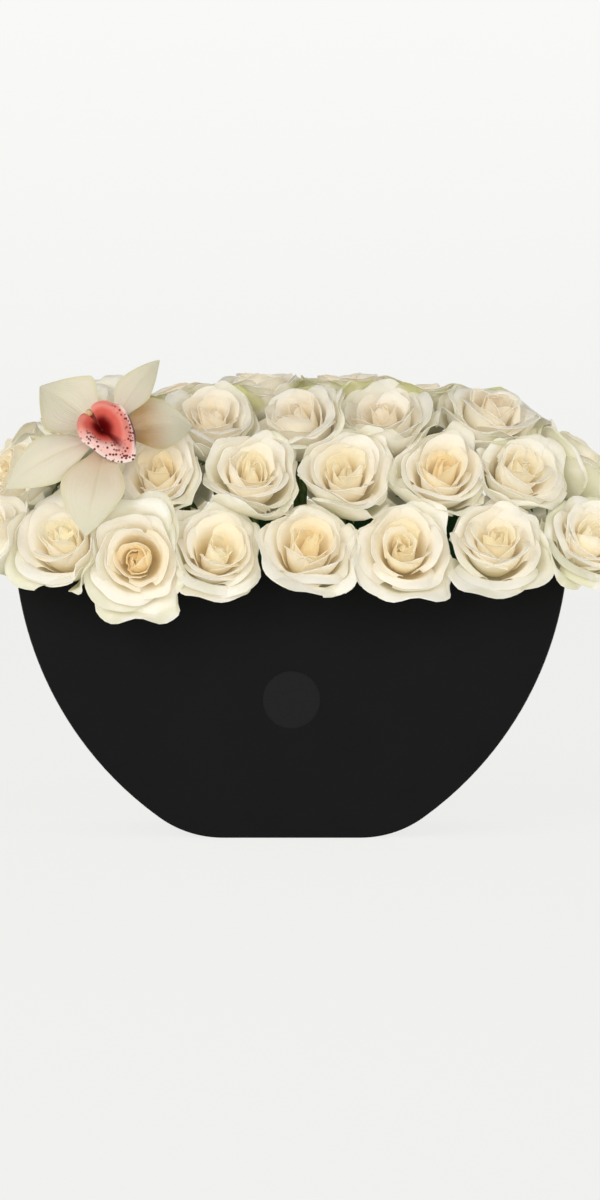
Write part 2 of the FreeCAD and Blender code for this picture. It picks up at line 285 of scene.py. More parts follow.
stage = dict(floorRadius=5.0, bend=3.0, bendSteps=20, height=3.6, sides=96,
             colour=linear(110, 110, 109), glow=5.1)


def stageSheet(name, verts, faces, paint):
    mesh = bpy.data.meshes.new(name)
    mesh.from_pydata(verts.reshape(-1, 3).tolist(), [], faces.tolist())
    mesh.polygons.foreach_set("use_smooth", np.ones(len(mesh.polygons), bool))
    mesh.materials.append(paint.material)
    sheet = bpy.data.objects.new(name, mesh)
    bpy.context.scene.collection.objects.link(sheet)
    return sheet


def makeStage():
    # the sweep's profile is a quarter circle up from the floor and a short straight wall, turned about Z
    s = stage
    paint = Finish("palePaint", Base_Color=s["colour"], Roughness=0.9, Specular_IOR_Level=0.0)
    paint.set(Emission_Color=s["colour"], Emission_Strength=s["glow"])
    up = np.linspace(0, math.pi / 2, s["bendSteps"])
    radius = s["floorRadius"] + s["bend"] * np.append(np.sin(up), 1.0)
    height = np.append(s["bend"] * (1 - np.cos(up)), s["height"])
    turn = np.linspace(0, 2 * math.pi, s["sides"], endpoint=False)
    spoke = np.stack([np.cos(turn), np.sin(turn), 0 * turn], axis=-1)
    rings = radius[:, None, None] * spoke + height[:, None, None] * np.array([0, 0, 1.0])
    stageSheet("paleFloor", rings[0], np.arange(s["sides"])[None], paint)
    sweep = stageSheet("paleSweep", rings, gridQuads(len(radius), s["sides"], ring=True), paint)
    for ray in ("diffuse", "glossy", "transmission", "shadow"):
        setattr(sweep, "visible_" + ray, False)


lamps = dict(
    key=dict(at=(-1.6, -2.8, 1.6), aim=(0, 0, 0.22), size=1.4, power=20),
)
sky = dict(colour=(1.0, 1.0, 0.99), back=0.85, front=1.85, topFade=1.0)      # most of it from the front


def makeLights():
    for name, lamp in lamps.items():
        data = bpy.data.lights.new(name, "AREA")
        data.size = lamp["size"]
        data.energy = lamp["power"]
        light = bpy.data.objects.new(name, data)
        light.location = lamp["at"]
        aim = Vector(lamp["aim"]) - Vector(lamp["at"])
        light.rotation_euler = aim.to_track_quat("-Z", "Y").to_euler()
        bpy.context.scene.collection.objects.link(light)
    world = bpy.data.worlds.new("softSky")
    world.use_nodes = True
    root = Value(world.node_tree, None)
    glow = next(n for n in world.node_tree.nodes if n.type == "BACKGROUND")
    root.feed(glow.inputs["Color"], (*sky["colour"], 1))
    way = root.node("ShaderNodeTexCoord")
    along = root.node("ShaderNodeSeparateXYZ", out=1, i0=way)
    up = root.node("ShaderNodeSeparateXYZ", out=2, i0=way)
    strength = root.node("ShaderNodeMapRange", i0=along, i1=-1.0, i2=1.0, i3=sky["front"], i4=sky["back"])
    strength = strength * (1 - sky["topFade"] * up.step(0.0, 1.0))
    root.feed(glow.inputs["Strength"], strength)
    bpy.context.scene.world = world
    bpy.context.scene.view_settings.view_transform = "Standard"
    print("stage and lights set")


# where the roses stand, in mm and degrees: rows on superellipses round the mound, as the CAD heads do

mound = dict(
    low=dict(halfLength=236, halfDepth=100, square=4.0, height=205, rise=11, lean=14),
    mid=dict(halfLength=205, halfDepth=80, square=3.0, height=255, rise=6, lean=33),
    high=dict(halfLength=168, halfDepth=50, square=2.5, height=295, rise=5, lean=54),
    crown=dict(halfLength=240, halfDepth=1, square=2.5, height=319, rise=-8, lean=84),
)
roseRows = dict(      # ring, front or back of it, and places along the box
    front_low=("low", -1, [-214, -157, -105, -53, 11, 78, 143, 211]),
    front_mid=("mid", -1, [-196, -95, -27, 38, 105, 161, 204.6]),
    front_high=("high", -1, [-150, -55, 9, 67, 141]),
    crown=("crown", -1, [-82, -23, 38, 97]),
    back_high=("high", 1, [-126, -58, 4, 66, 147]),
    back_mid=("mid", 1, [-203, -156, -85, -24, 36, 97, 175]),
    back_low=("low", 1, [-196, -117, -54, 6, 66, 130, 198]),
    end_low=("low", 1, [-235.99, 235.99]),
)
sharedNodes = ("back_mid", "back_low")      # rows whose heads are one CAD node
roseFace = 34      # mm from the hip of a rose to the plane of its open face
droop = dict(rose="front_low_rose_3", height=-11, lean=-14, forward=8)      # one head hangs over the rim


def roseStand(name, ring, side, x):
    # a rose's hip and the way that it looks, from its ring's superellipse and its place along the row
    share = abs(x) / ring["halfLength"]
    square = ring["square"]
    rest = (1 - share ** square) ** (1 / square)
    y = side * ring["halfDepth"] * rest
    z = ring["height"] + ring["rise"] * share ** 2
    lean = ring["lean"]
    if name == droop["rose"]:
        y, z, lean = y + side * droop["forward"], z + droop["height"], lean + droop["lean"]
    out = unit(np.array([math.copysign(share ** (square - 1), x) / ring["halfLength"],
                         side * rest ** (square - 1) / ring["halfDepth"], 0]))
    up = math.radians(lean)
    look = out * math.cos(up) + np.array([0, 0, math.sin(up)])
    return (np.array([x, y, z]) - look * roseFace) * mm, look


def roseStands():
    # every rose's name, CAD node, hip and look
    for row, (ring, side, places) in roseRows.items():
        for n, x in enumerate(places, 1):
            name = f"{row}_rose_{n}"
            hip, look = roseStand(name, mound[ring], side, x)
            yield name, (f"{row}_roses" if row in sharedNodes else name), hip, look


# one rose: petals on a golden-angle spiral, each a strip of a cup that opens more the further out it is.
# Lists run from the heart to the guard petals.

rose = dict(
    petals=27, rows=12, cols=17, golden=137.5,
    fine=3, crowding=1.7,                     # steps summed for each row, and how rows crowd to the edge
    length=[36, 39.5, 41, 43, 46],            # mm along a petal
    fullLength=0.96,                          # share of it at the middle of the edge
    footRadius=[1.0, 2.0, 3.0, 4.0, 5.0],
    footHeight=[3.0, 2.5, 2.0, 1.0, 0.0],
    spreadFoot=[16, 28, 44, 58, 70],          # degrees from the axis at the foot, the middle and the edge
    spreadMiddle=[2, 2, 6, 10, 14],
    spreadEdge=[-34, -12, 2, 14, 30],
    roll=[4, 30, 64, 100, 120],               # degrees more that the edge rolls back
    rollOver=(0.74, 1.02),
    halfSpan=[95, 84, 76, 70, 64],            # degrees that half a petal takes round the axis
    footShare=0.55, swell=0.45, drawIn=0.2,   # share of the span at the foot, what it gains and then loses
    swellOver=(0, 0.5), drawInOver=(0.6, 1),
    corner=[0.14, 0.18, 0.22, 0.26, 0.30],    # share of the length that the sides stop short
    notchWidth=0.22,
    wave=[0.8, 1.2, 1.7, 2.2, 2.8],           # mm that the edges ripple
    ripples=[(2.6, 1.0), (5.6, 0.55), (10.5, 0.3)],      # how fast across a petal, and how strong
    rippleOut=0.5, rippleUp=0.75,
    wide=1.22, tall=1.08, swirl=1.2, thickness=0.4,
)
petalChance = dict(      # what differs from petal to petal: spreads of normal draws, limits of even ones
    middle=6, edge=12, roll=(0.45, 1.25), length=0.04, spin=9, span=0.06, drift=1.5, heartDrift=2.0,
    notch=(-0.04, 0.05), blunt=(1.7, 3.0),
    heart=0.85, outer=0.15, outerOver=(0.05, 0.5),      # its share in the heart, and what outer petals add
)


petalAge = (np.arange(rose["petals"]) / (rose["petals"] - 1))[:, None, None]      # 0 heart, 1 outermost
petalLoose = petalChance["heart"] + petalChance["outer"] * smooth(*petalChance["outerOver"], petalAge)


def byAge(key):
    return np.interp(petalAge, np.linspace(0, 1, len(rose[key])), rose[key])


def normalDraw(draw, key):
    return draw.normal(0, petalChance[key], petalAge.shape)


def evenDraw(draw, key):
    return draw.uniform(*petalChance[key], petalAge.shape)


def petalCups(draw, openness, v):
    # radius and height of every petal's cup: u runs from its foot to its edge, closer together near the
    # edge, and v across it. The profile leans from the axis by a smooth blend of three angles, and by more
    # where the edge rolls back. It is summed along its length in fine steps, and one in three is kept. The
    # sides stop early, which rounds the edge
    r = rose
    u = 1 - (1 - np.linspace(0, 1, r["fine"] * (r["rows"] - 1) + 1)) ** r["crowding"]
    u = u[None, :, None]
    foot = np.radians(byAge("spreadFoot"))
    middle = np.radians(byAge("spreadMiddle") * openness + normalDraw(draw, "middle") * petalLoose)
    edge = np.radians(byAge("spreadEdge") * openness + normalDraw(draw, "edge") * petalLoose)
    roll = np.radians(byAge("roll") * evenDraw(draw, "roll"))
    length = byAge("length") * (1 + normalDraw(draw, "length"))
    notch = evenDraw(draw, "notch") * np.exp(-(v / r["notchWidth"]) ** 2) * petalLoose
    side = byAge("corner") * np.abs(v) ** evenDraw(draw, "blunt")
    s = np.clip(u * (r["fullLength"] - side - notch), 0, 1)
    lean = (1 - s) ** 2 * foot + 2 * s * (1 - s) * middle + s ** 2 * edge
    lean = lean + roll * smooth(*r["rollOver"], u)
    run = length * np.diff(s, axis=1)

    def summed(f):
        steps = np.cumsum((f[:, 1:] + f[:, :-1]) / 2 * run, axis=1)
        return np.pad(steps, ((0, 0), (1, 0), (0, 0)))[:, ::r["fine"]]

    radius = r["wide"] * (byAge("footRadius") + summed(np.sin(lean)))
    height = r["tall"] * (byAge("footHeight") + summed(np.cos(lean)))
    return radius, height, u[:, ::r["fine"]], s[:, ::r["fine"]]


def rosePetals(draw, openness):
    # every petal at once: v carries its cup round the axis, over a span that swells from the foot and draws
    # in to the edge. Sine waves ripple the edge, and petals drift off the axis by chance
    r = rose
    count = r["petals"]
    v = np.linspace(-1, 1, r["cols"])
    radius, height, u, along = petalCups(draw, openness, v)
    spin = np.radians(np.arange(count)[:, None, None] * r["golden"] + normalDraw(draw, "spin"))
    halfSpan = np.radians(byAge("halfSpan")) * (1 + normalDraw(draw, "span"))
    starts = draw.uniform(0, anyTurn, (len(r["ripples"]), count, 1, 1))
    ripple = sum(size * np.sin(speed * v + start) for (speed, size), start in zip(r["ripples"], starts))
    ripple = ripple * byAge("wave") * u ** 3
    radius = radius + r["swirl"] * v * along + r["rippleOut"] * ripple
    height = height + r["rippleUp"] * ripple
    hand = 1 if draw.uniform() < 0.5 else -1
    reach = r["footShare"] + r["swell"] * smooth(*r["swellOver"], u)
    reach = reach - r["drawIn"] * smooth(*r["drawInOver"], u)
    angle = spin + hand * v * halfSpan * reach
    sheets = np.stack([radius * np.cos(angle), radius * np.sin(angle), height], axis=-1)
    drift = draw.normal(0, petalChance["drift"], (count, 1, 1, 2)) * petalLoose[..., None]
    drift = drift + draw.normal(0, petalChance["heartDrift"], 2) * (1 - petalAge[..., None])
    sheets[..., :2] += drift * u[..., None]
    marks = dict(petalAge=petalAge, petalAlong=u, petalAcross=v)
    return sheets, {key: np.broadcast_to(values, radius.shape) for key, values in marks.items()}


packing = dict(
    middle=25, reach=84, give=11, cross=5, lead=5, nest=9, wobble=2.5, wobbleLength=30,      # mm
    wobbleAlong=(0.6, 0.3, 0.75), leadTurn=2.4, lift=0.4,
)


def pressed(points, age, look, number, heads):
    # neighbours press on each other: near the plane between two heads a petal is held back and bent the
    # way its rose looks, what it still gains dying away exponentially. Lead lets one of each pair reach
    # over the other, inner petals stop short of outer ones, and a sine wave keeps the seam wavy
    p = packing
    give = p["give"] * mm
    gaps = np.linalg.norm(heads - heads[number], axis=1)
    wave = np.sin(points @ np.array(p["wobbleAlong"]) * 2 * math.pi / (p["wobbleLength"] * mm))
    for other in np.flatnonzero((gaps > 0) & (gaps < p["reach"] * mm)):
        across = unit(heads[other] - heads[number])
        lead = p["cross"] + p["lead"] * math.sin(p["leadTurn"] * (number - other))
        lead = lead + p["wobble"] * np.sign(other - number) * wave - p["nest"] * (1 - age)
        past = (points - (heads[number] + heads[other]) / 2) @ across + give - lead * mm
        held = np.where(past > 0, give * (1 - np.exp(-np.maximum(past, 0) / give)), past)
        points = points + (held - past)[:, None] * (across - p["lift"] * look)
    return points


dome = dict(
    rows=("crown", "back_high", "front_high_rose_5", "front_mid_rose_1", "front_mid_rose_7"),
    along=[-230, -185, -90, -20, 55, 90, 150, 185, 230],      # mm, the mound's outline along the box
    height=[255, 284, 318, 332, 330, 321, 317, 298, 264],
    give=12, wave=2.5, waveLength=46, slant=0.5,
)
hang = dict(
    row="_low_", lowest=166, droop=-14,      # mm, how low petals hang, and what the drooping head adds
    give=10, wave=3.0, waveLength=38,
)


def underDome(points):
    # heights held under the mound's outline, a little wavy: near it they grow ever more slowly
    d = dome
    give = d["give"] * mm
    x, y, _ = np.moveaxis(points / mm, -1, 0)
    arch = np.interp(x, d["along"], d["height"])
    arch = (arch + d["wave"] * np.sin((x + d["slant"] * y) * 2 * math.pi / d["waveLength"])) * mm
    past = points[..., 2] - arch + give
    return np.where(past > 0, arch - give * np.exp(-np.maximum(past, 0) / give), points[..., 2])


def overEdge(points, drooping):
    # heights held over a wavy line below the rim in the same way
    h = hang
    give = h["give"] * mm
    line = h["lowest"] + h["wave"] * np.sin(points[..., 0] / mm * 2 * math.pi / h["waveLength"])
    line = (line + h["droop"] * drooping) * mm
    past = line + give - points[..., 2]
    return np.where(past > 0, line + give * np.exp(-np.maximum(past, 0) / give), points[..., 2])


roseChance = dict(seed=900, openness=(0.78, 1.18), size=(1.02, 1.1), tilt=6.0,
                  peach=(0, 0.5), green=(0.05, 0.3))
peachRoses = dict(front_low_rose_3=1.0, front_mid_rose_5=0.9, front_low_rose_5=0.75)
greenRoses = dict(front_low_rose_2=0.35, front_low_rose_3=0.35, front_low_rose_8=0.5,
                  front_mid_rose_1=0.6, front_mid_rose_7=0.4, front_high_rose_5=0.6)
greenRows = ("crown", "back_high")
# each row's share of painted shade, which darkens its petals' feet and dims their glow where less light
# reaches the upper rows, and of a lilac tint in the hearts
shadeAndLilacRows = dict(front_mid=0.2, front_high=1.0, crown=1.0, back_high=1.0)
largeRoses = dict(front_low_rose_2=1.1, front_low_rose_3=1.05, front_low_rose_5=1.12,
                  front_mid_rose_4=1.08, front_mid_rose_7=1.1, front_high_rose_5=1.12)
upturn = dict(row="_low_", rise=0.45)      # the lowest row looks up more than its stems do
slump = dict(row="front_low", drop=4)      # mm, how far the front's lowest heads have sunk


def makeRose(name, node, hip, look, number, heads):
    # the head nods a little off the way that its stem looks, by two chance tilts across it
    c = roseChance
    draw = np.random.default_rng(c["seed"] + number)
    sheets, marks = rosePetals(draw, draw.uniform(*c["openness"]))
    sheets = sheets * draw.uniform(*c["size"]) * largeRoses.get(name, 1.0)
    nod = np.radians(draw.normal(0, c["tilt"], 2))
    turn = basisAlong(look, draw.uniform(0, anyTurn))
    axis = look + turn[:, 0] * nod[0] + turn[:, 1] * nod[1]
    if upturn["row"] in name and name != droop["rose"]:
        axis = axis + np.array([0, 0, upturn["rise"]])
        if name.startswith(slump["row"]):
            hip = hip - np.array([0, 0, slump["drop"] * mm])
    axis = unit(axis)
    turn = basisAlong(axis, draw.uniform(0, anyTurn))
    pivot = packing["middle"] * mm        # a head turns about its middle
    placed = hip + (look - axis) * pivot + (sheets * mm) @ turn.T
    age = marks["petalAge"].ravel()
    placed = pressed(placed.reshape(-1, 3), age, axis, number, heads).reshape(placed.shape)
    if name.startswith(dome["rows"]):
        placed[..., 2] = underDome(placed)
    if hang["row"] in name:
        placed[..., 2] = overEdge(placed, name == droop["rose"])
    verts, faces = leafShells(placed, rose["thickness"] * mm)
    flat = {key: twice(values) for key, values in marks.items()}
    peach = peachRoses.get(name, draw.uniform(*c["peach"]))
    greenish = 1.0 if name.startswith(greenRows) else greenRoses.get(name, draw.uniform(*c["green"]))
    shadeAndLilac = max((share for row, share in shadeAndLilacRows.items() if name.startswith(row)), default=0.0)
    for key, value in dict(rosePeach=peach, roseGreen=greenish, roseShadeAndLilac=shadeAndLilac).items():
        flat[key] = np.full(len(verts), value)
    uv = sheetUv(flat["petalAcross"], flat["petalAlong"])
    piece = meshPiece(name + "_bloom", verts, faces, "insert", rosePetal, uv, flat)
    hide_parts(node)


petalColour = dict(heart=linear(243, 233, 202), middle=linear(239, 232, 216), outer=linear(235, 231, 219),
                   foot=linear(240, 214, 146), green=linear(184, 185, 118), peach=linear(243, 216, 150),
                   lilac=linear(240, 226, 206), paintedShade=linear(200, 184, 138), glow=linear(252, 243, 222))


def petalFinish():
    c = petalColour
    f = softFinish("rosePetal", 0.55, 0.3, 0.35, (0.0012, 0.0010, 0.0008))
    age, along = f.mark("petalAge"), f.mark("petalAlong")
    peach, greenish, shadeAndLilac = f.mark("rosePeach"), f.mark("roseGreen"), f.mark("roseShadeAndLilac")
    inner = f.blend(peach, c["heart"], c["peach"])
    # the same share tints the hearts lilac
    inner = f.blend(shadeAndLilac * 0.75, inner, c["lilac"])
    colour = f.blend(age.step(0.1, 0.5), inner, c["middle"])
    colour = f.blend(age.step(0.4, 0.85), colour, c["outer"])
    # the petals' feet go yellow, and green on outer ones: partly their own colour, partly a painted warm
    # tone that stands for light through the petals in the shade between them; less of it on the upper rows
    foot = 1 - along.step(0.3, 0.85)
    footColour = f.blend(age.step(0.5, 0.95), c["foot"], c["green"])
    colour = f.blend(foot * (0.75 - 0.35 * shadeAndLilac), colour, footColour)
    patch = f.noise(f.place(), 38.0, 2.0).step(0.38, 0.58)
    colour = f.blend(age.step(0.6, 0.9) * greenish * patch, colour, c["green"])
    # painted shade: the feet of the upper rows' petals darkened
    colour = f.blend(shadeAndLilac * 0.5 * foot, colour, c["paintedShade"])
    soft = f.noise(f.place(), 60.0, 3.0)
    veins = f.noise(f.stretched(f.uv(), (26.0, 1.6, 1.0)), 3.0, 5.0, 0.6)
    f.set(Base_Color=f.blend(soft.step(0.35, 0.75) * 0.12, colour, c["middle"]))
    # painted light: the petals glow though they are no lamp, standing in for light that comes through them
    # and lifting the shade between them; little at its foot, most past its middle, less again at its edge
    paintedGlowShare = 0.3 + along.step(0.3, 0.8) * (0.7 - 0.4 * along.step(0.85, 1.0))
    # the painted glow is dimmer on the rows with painted shade
    paintedGlowShare = paintedGlowShare * (1 - 0.2 * shadeAndLilac)
    f.set(Emission_Color=f.blend(paintedGlowShare, linear(0, 0, 0), c["glow"]), Emission_Strength=0.16)
    dents = f.noise(f.place(), 120.0, 2.0)
    f.set(Normal=f.bump(dents * 2.0 + veins * 0.5, 0.5, 0.0008))
    return f


def makeRoses():
    stands = list(roseStands())
    heads = np.array([hip + look * packing["middle"] * mm for _, _, hip, look in stands])
    for number, (name, node, hip, look) in enumerate(stands):
        makeRose(name, node, hip, look, number, heads)
    print("roses:", len(stands))


# green hips, stems and sepals

green = dict(
    hipRadius=6.2, hipLength=12, hipFull=0.25, stemRadius=2.5, knotSize=0.03, knots=40, knee=16,
    foamTop=185.7, footRise=14, lowest=188, highest=319,
    drawIn=0.84, drawBack=0.42,      # how much of its hip's x and y a stem's foot keeps
    steps=17, sides=10, seed=77,
)
sepal = dict(count=5, length=13, stretch=(0.8, 1.15), width=6.0, taper=1.6, tip=0.15, cup=0.18,
             thickness=0.7, lean=(50, 80), curl=(20, 75), footShare=0.75, sunk=1.0, spread=0.12,
             rows=9, cols=5)


def stemPaths(hips, looks):
    # a bent line from each hip, first straight back along the rose and then over to its hole in the foam
    g = green
    deep = np.minimum((hips[:, 2] / mm - g["lowest"]) / (g["highest"] - g["lowest"]), 1)
    foot = np.stack([hips[:, 0] * g["drawIn"], hips[:, 1] * g["drawBack"],
                     (g["foamTop"] + g["footRise"] * deep) * mm], axis=-1)
    knee = hips - looks * g["knee"] * mm
    s = np.linspace(0, 1, g["steps"])[None, :, None]
    return (1 - s) ** 2 * hips[:, None] + 2 * s * (1 - s) * knee[:, None] + s ** 2 * foot[:, None]


def sepalSheets(hips, looks, draw):
    # each sepal is a narrow blade from the top of the hip that leans out from the rose's axis and curls
    # back: its lean grows from foot to tip and is summed along its length, and its width tapers to a point
    b = sepal
    count = len(hips) * b["count"]
    u, v = np.linspace(0, 1, b["rows"]), np.linspace(-1, 1, b["cols"])
    lean = draw.uniform(*b["lean"], count)[:, None]
    lean = np.radians(lean + draw.uniform(*b["curl"], count)[:, None] * u)
    run = b["length"] * draw.uniform(*b["stretch"], count)[:, None] / (len(u) - 1)
    out = (green["hipRadius"] * b["footShare"] + np.cumsum(np.sin(lean) * run, axis=1))[..., None]
    up = (np.cumsum(np.cos(lean) * run, axis=1) - b["sunk"])[..., None]
    half = (b["width"] / 2 * (1 - u ** b["taper"]) + b["tip"])[None, :, None]
    around = np.tile(np.arange(b["count"]) * 2 * math.pi / b["count"], len(hips))
    around = (around + draw.normal(0, b["spread"], count))[:, None, None]
    c, s = np.cos(around), np.sin(around)
    side, cup = half * v, b["cup"] * half * v ** 2
    local = np.stack([out * c - side * s, out * s + side * c, up + cup], axis=-1)
    turns = np.repeat(np.stack([basisAlong(look) for look in looks]), b["count"], axis=0)
    feet = np.repeat(hips, b["count"], axis=0)[:, None, None]
    return np.einsum("kij,kuvj->kuvi", turns, local) * mm + feet


def makeGreens():
    # a stem is a tube along its path, swollen to the hip at its top and a little knotty by a sine wave
    g = green
    draw = np.random.default_rng(g["seed"])
    stands = list(roseStands())
    hips = np.array([stand[2] for stand in stands])
    looks = np.array([stand[3] for stand in stands])
    paths = stemPaths(hips, looks)
    s = np.linspace(0, 1, g["steps"])
    back = np.linalg.norm(paths - paths[:, :1], axis=-1) / mm
    bulge = 1 - smooth(g["hipFull"], 1.0, back / g["hipLength"])
    radii = g["stemRadius"] + (g["hipRadius"] - g["stemRadius"]) * bulge
    radii = radii * (1 + g["knotSize"] * np.sin(g["knots"] * s)) * mm
    verts, faces, _ = tubes(paths, radii, g["sides"])
    leafVerts, leafFaces = leafShells(sepalSheets(hips, looks, draw), sepal["thickness"] * mm)
    faces.append(leafFaces[0] + len(verts))
    marks = dict(sepal=np.concatenate([np.zeros(len(verts)), np.ones(len(leafVerts))]))
    piece = meshPiece("rose_greens", np.concatenate([verts, leafVerts]), faces, "insert",
                      greenFinish(), marks=marks)
    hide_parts("rose_stems")
    print("stems and sepals:", len(hips))


greenColour = dict(stem=(linear(70, 96, 46), linear(104, 128, 62)),        # dark and pale
                   leaf=(linear(104, 124, 56), linear(158, 172, 92)))


def greenFinish():
    f = softFinish("roseGreen", 0.5, 0.35, 0.15, (0.001, 0.0015, 0.0005))
    mottle = f.noise(f.place(), 180.0, 4.0)
    stem = f.blend(mottle.step(0.3, 0.7), *greenColour["stem"])
    leaf = f.blend(mottle.step(0.3, 0.7), *greenColour["leaf"])
    f.set(Base_Color=f.blend(f.mark("sepal"), stem, leaf))
    f.set(Normal=f.bump(mottle, 0.25, 0.0008))
    return f


# the orchid: five tepals, a trumpet lip, and the column with its pedicel

orchid = dict(place=(-126, -92, 282), lean=22, turn=-8, roll=45)
tepal = dict(foot=4.5, claw=0.2, closing=0.97, midrib=0.1, midribWidth=0.16, waves=(7, 2),
             thickness=1.0, rib=1.15, thinning=0.8, rows=25, cols=17)
sepalBlades = [      # mm and degrees, the lean at the claw and at the tip; the last value is how much painted shadow, in tan, lies on the foot, where the lip shades it
    dict(angle=8, length=60, width=50, belly=0.50, tip=1.15, lean=(18, -24), cup=0.16, twist=0,
         wave=0.8, back=3, footShadow=0.0),
    dict(angle=127, length=70, width=46, belly=0.52, tip=1.7, lean=(26, -24), cup=0.16, twist=6,
         wave=0.8, back=3, footShadow=0.35),
    dict(angle=243, length=55, width=44, belly=0.52, tip=1.7, lean=(0, -46), cup=0.16, twist=-14,
         wave=0.8, back=3, footShadow=1.0),
]
petalBlades = [
    dict(angle=73, length=76, width=35, belly=0.50, tip=1.5, lean=(24, -34), cup=-0.18, twist=-18,
         wave=1.2, back=-1, footShadow=0.0),
    dict(angle=288, length=62, width=25, belly=0.46, tip=1.25, lean=(14, -30), cup=0.26, twist=24,
         wave=1.0, back=-1, footShadow=0.0),
]


def orchidBasis():
    # the flower's own axes: sideways, up and the way it looks, rolled about that
    lean, turn, roll = np.radians([orchid["lean"], orchid["turn"], orchid["roll"]])
    look = [math.sin(turn) * math.cos(lean), -math.cos(turn) * math.cos(lean), math.sin(lean)]
    return basisAlong(look, roll)


def onOrchid(points):
    return (points @ orchidBasis().T + np.array(orchid["place"])) * mm


def tepalSheet(blade):
    # a blade from its claw to its tip: the midrib's lean against the flower's face changes evenly and is
    # summed along the length; the width swells from the claw to the belly and closes to the tip; the edges
    # are cupped, twisted about the midrib and a little wavy
    b, t = blade, tepal
    u, v = np.linspace(0, 1, t["rows"])[:, None], np.linspace(-1, 1, t["cols"])[None]
    lean = np.radians(mix(b["lean"][0], b["lean"][1], u))
    step = b["length"] / (t["rows"] - 1)
    out = t["foot"] + np.cumsum(np.cos(lean), axis=0) * step
    rise = -b["back"] + np.cumsum(np.sin(lean), axis=0) * step
    past = np.clip((u - b["belly"]) / (1 - b["belly"]), 0, 1)
    half = b["width"] / 2 * mix(t["claw"], 1.0, smooth(0, b["belly"], u))
    half = half * (1 - t["closing"] * past ** b["tip"])
    twist = np.radians(b["twist"]) * u
    bow = b["cup"] * half * v ** 2 - t["midrib"] * half * np.exp(-(v / t["midribWidth"]) ** 2) * (1 - u)
    bow = bow + b["wave"] * np.sin(t["waves"][0] * u + t["waves"][1] * v) * np.abs(v) ** 3 * u
    side = half * v * np.cos(twist) - bow * np.sin(twist)
    front = rise + half * v * np.sin(twist) + bow * np.cos(twist)
    a = math.radians(90 + b["angle"])
    c, s = math.cos(a), math.sin(a)
    return np.stack([out * c - side * s, out * s + side * c, front], axis=-1)


def makeTepals(name, node, blades, finish):
    # thickest along the midrib, and thinner towards the sides and the tip by powers of v and u
    t = tepal
    sheets = np.stack([tepalSheet(blade) for blade in blades])
    shape = sheets.shape[:3]
    u = np.broadcast_to(np.linspace(0, 1, t["rows"])[:, None], shape)
    v = np.broadcast_to(np.linspace(-1, 1, t["cols"]), shape)
    footShadow = np.broadcast_to(np.array([b["footShadow"] for b in blades])[:, None, None], shape)
    thin = t["thickness"] * (t["rib"] - t["thinning"] * np.maximum(np.abs(v) ** 3, u ** 4))
    verts, faces = leafShells(sheets, thin)
    marks = dict(tepalAlong=twice(u), tepalAcross=twice(v), tepalFootShadow=twice(footShadow))
    uv = sheetUv(marks["tepalAcross"], marks["tepalAlong"])
    piece = meshPiece(name, onOrchid(verts), faces, "insert", finish, uv, marks)
    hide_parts(node)


tepalColour = dict(foot=linear(232, 214, 194), middle=linear(224, 217, 194), tip=linear(214, 212, 186),
                   edge=linear(206, 200, 148), shadowTan=linear(188, 148, 80), lines=linear(222, 194, 176),
                   midrib=linear(190, 176, 132), soft=linear(228, 214, 200))


def tepalFinish():
    c = tepalColour
    f = softFinish("orchidTepal", 0.42, 0.4, 0.4, (0.0024, 0.0019, 0.0015))
    along, across, footShadow = f.mark("tepalAlong"), f.mark("tepalAcross"), f.mark("tepalFootShadow")
    beside = across * across
    colour = f.blend(along.step(0.0, 0.5), c["foot"], c["middle"])
    colour = f.blend(along.step(0.5, 1.0) * 0.8, colour, c["tip"])
    colour = f.blend(beside.step(0.6, 1.0) * 0.6, colour, c["edge"])
    # painted shadow: the feet of the lower sepals go tan where the lip shades them
    colour = f.blend(footShadow * (1 - along.step(0.25, 0.75)) * 0.9, colour, c["shadowTan"])
    lines = f.noise(f.stretched(f.uv(), (26.0, 0.5, 1.0)), 3.0, 3.0, 0.5)
    colour = f.blend(lines.step(0.5, 0.68) * 0.3, colour, c["lines"])
    midrib = (1 - beside.step(0.0, 0.006)) * (1 - along.step(0.5, 0.95))
    colour = f.blend(midrib * 0.2, colour, c["midrib"])
    soft = f.noise(f.place(), 70.0, 3.0)
    f.set(Base_Color=f.blend(soft.step(0.4, 0.7) * 0.25, colour, c["soft"]))
    f.set(Normal=f.bump(lines + soft * 0.8, 0.35, 0.0012))
    return f


lip = dict(
    throat=(-0.5, 6.5, -3.0), throatRadius=0.6,          # mm on the flower's face, and forward of it
    angles=[0, 30, 65, 105, 150, 164],                   # degrees round the throat from the front lobe
    reach=[35, 28, 18.5, 15, 12.5, 11.5],
    height=[19.5, 21.5, 24.5, 24.5, 21.5, 19.5],
    reflex=[10, 8, 4, 3, 2, 2], reflexOver=(0.7, 1.0),
    flare=1.2, climb=1.7,                                # powers of u
    ruffle=1.5, ruffleOver=(0.6, 1.0), ruffleFade=(60, 120), frillsOut=14, frillsUp=17, frillStart=2,
    keel=2.0, keelWidth=9, keelFrom=(0.15, 0.5), keelTo=(0.75, 1.0),
    thickness=0.9, rows=31, cols=65,
)


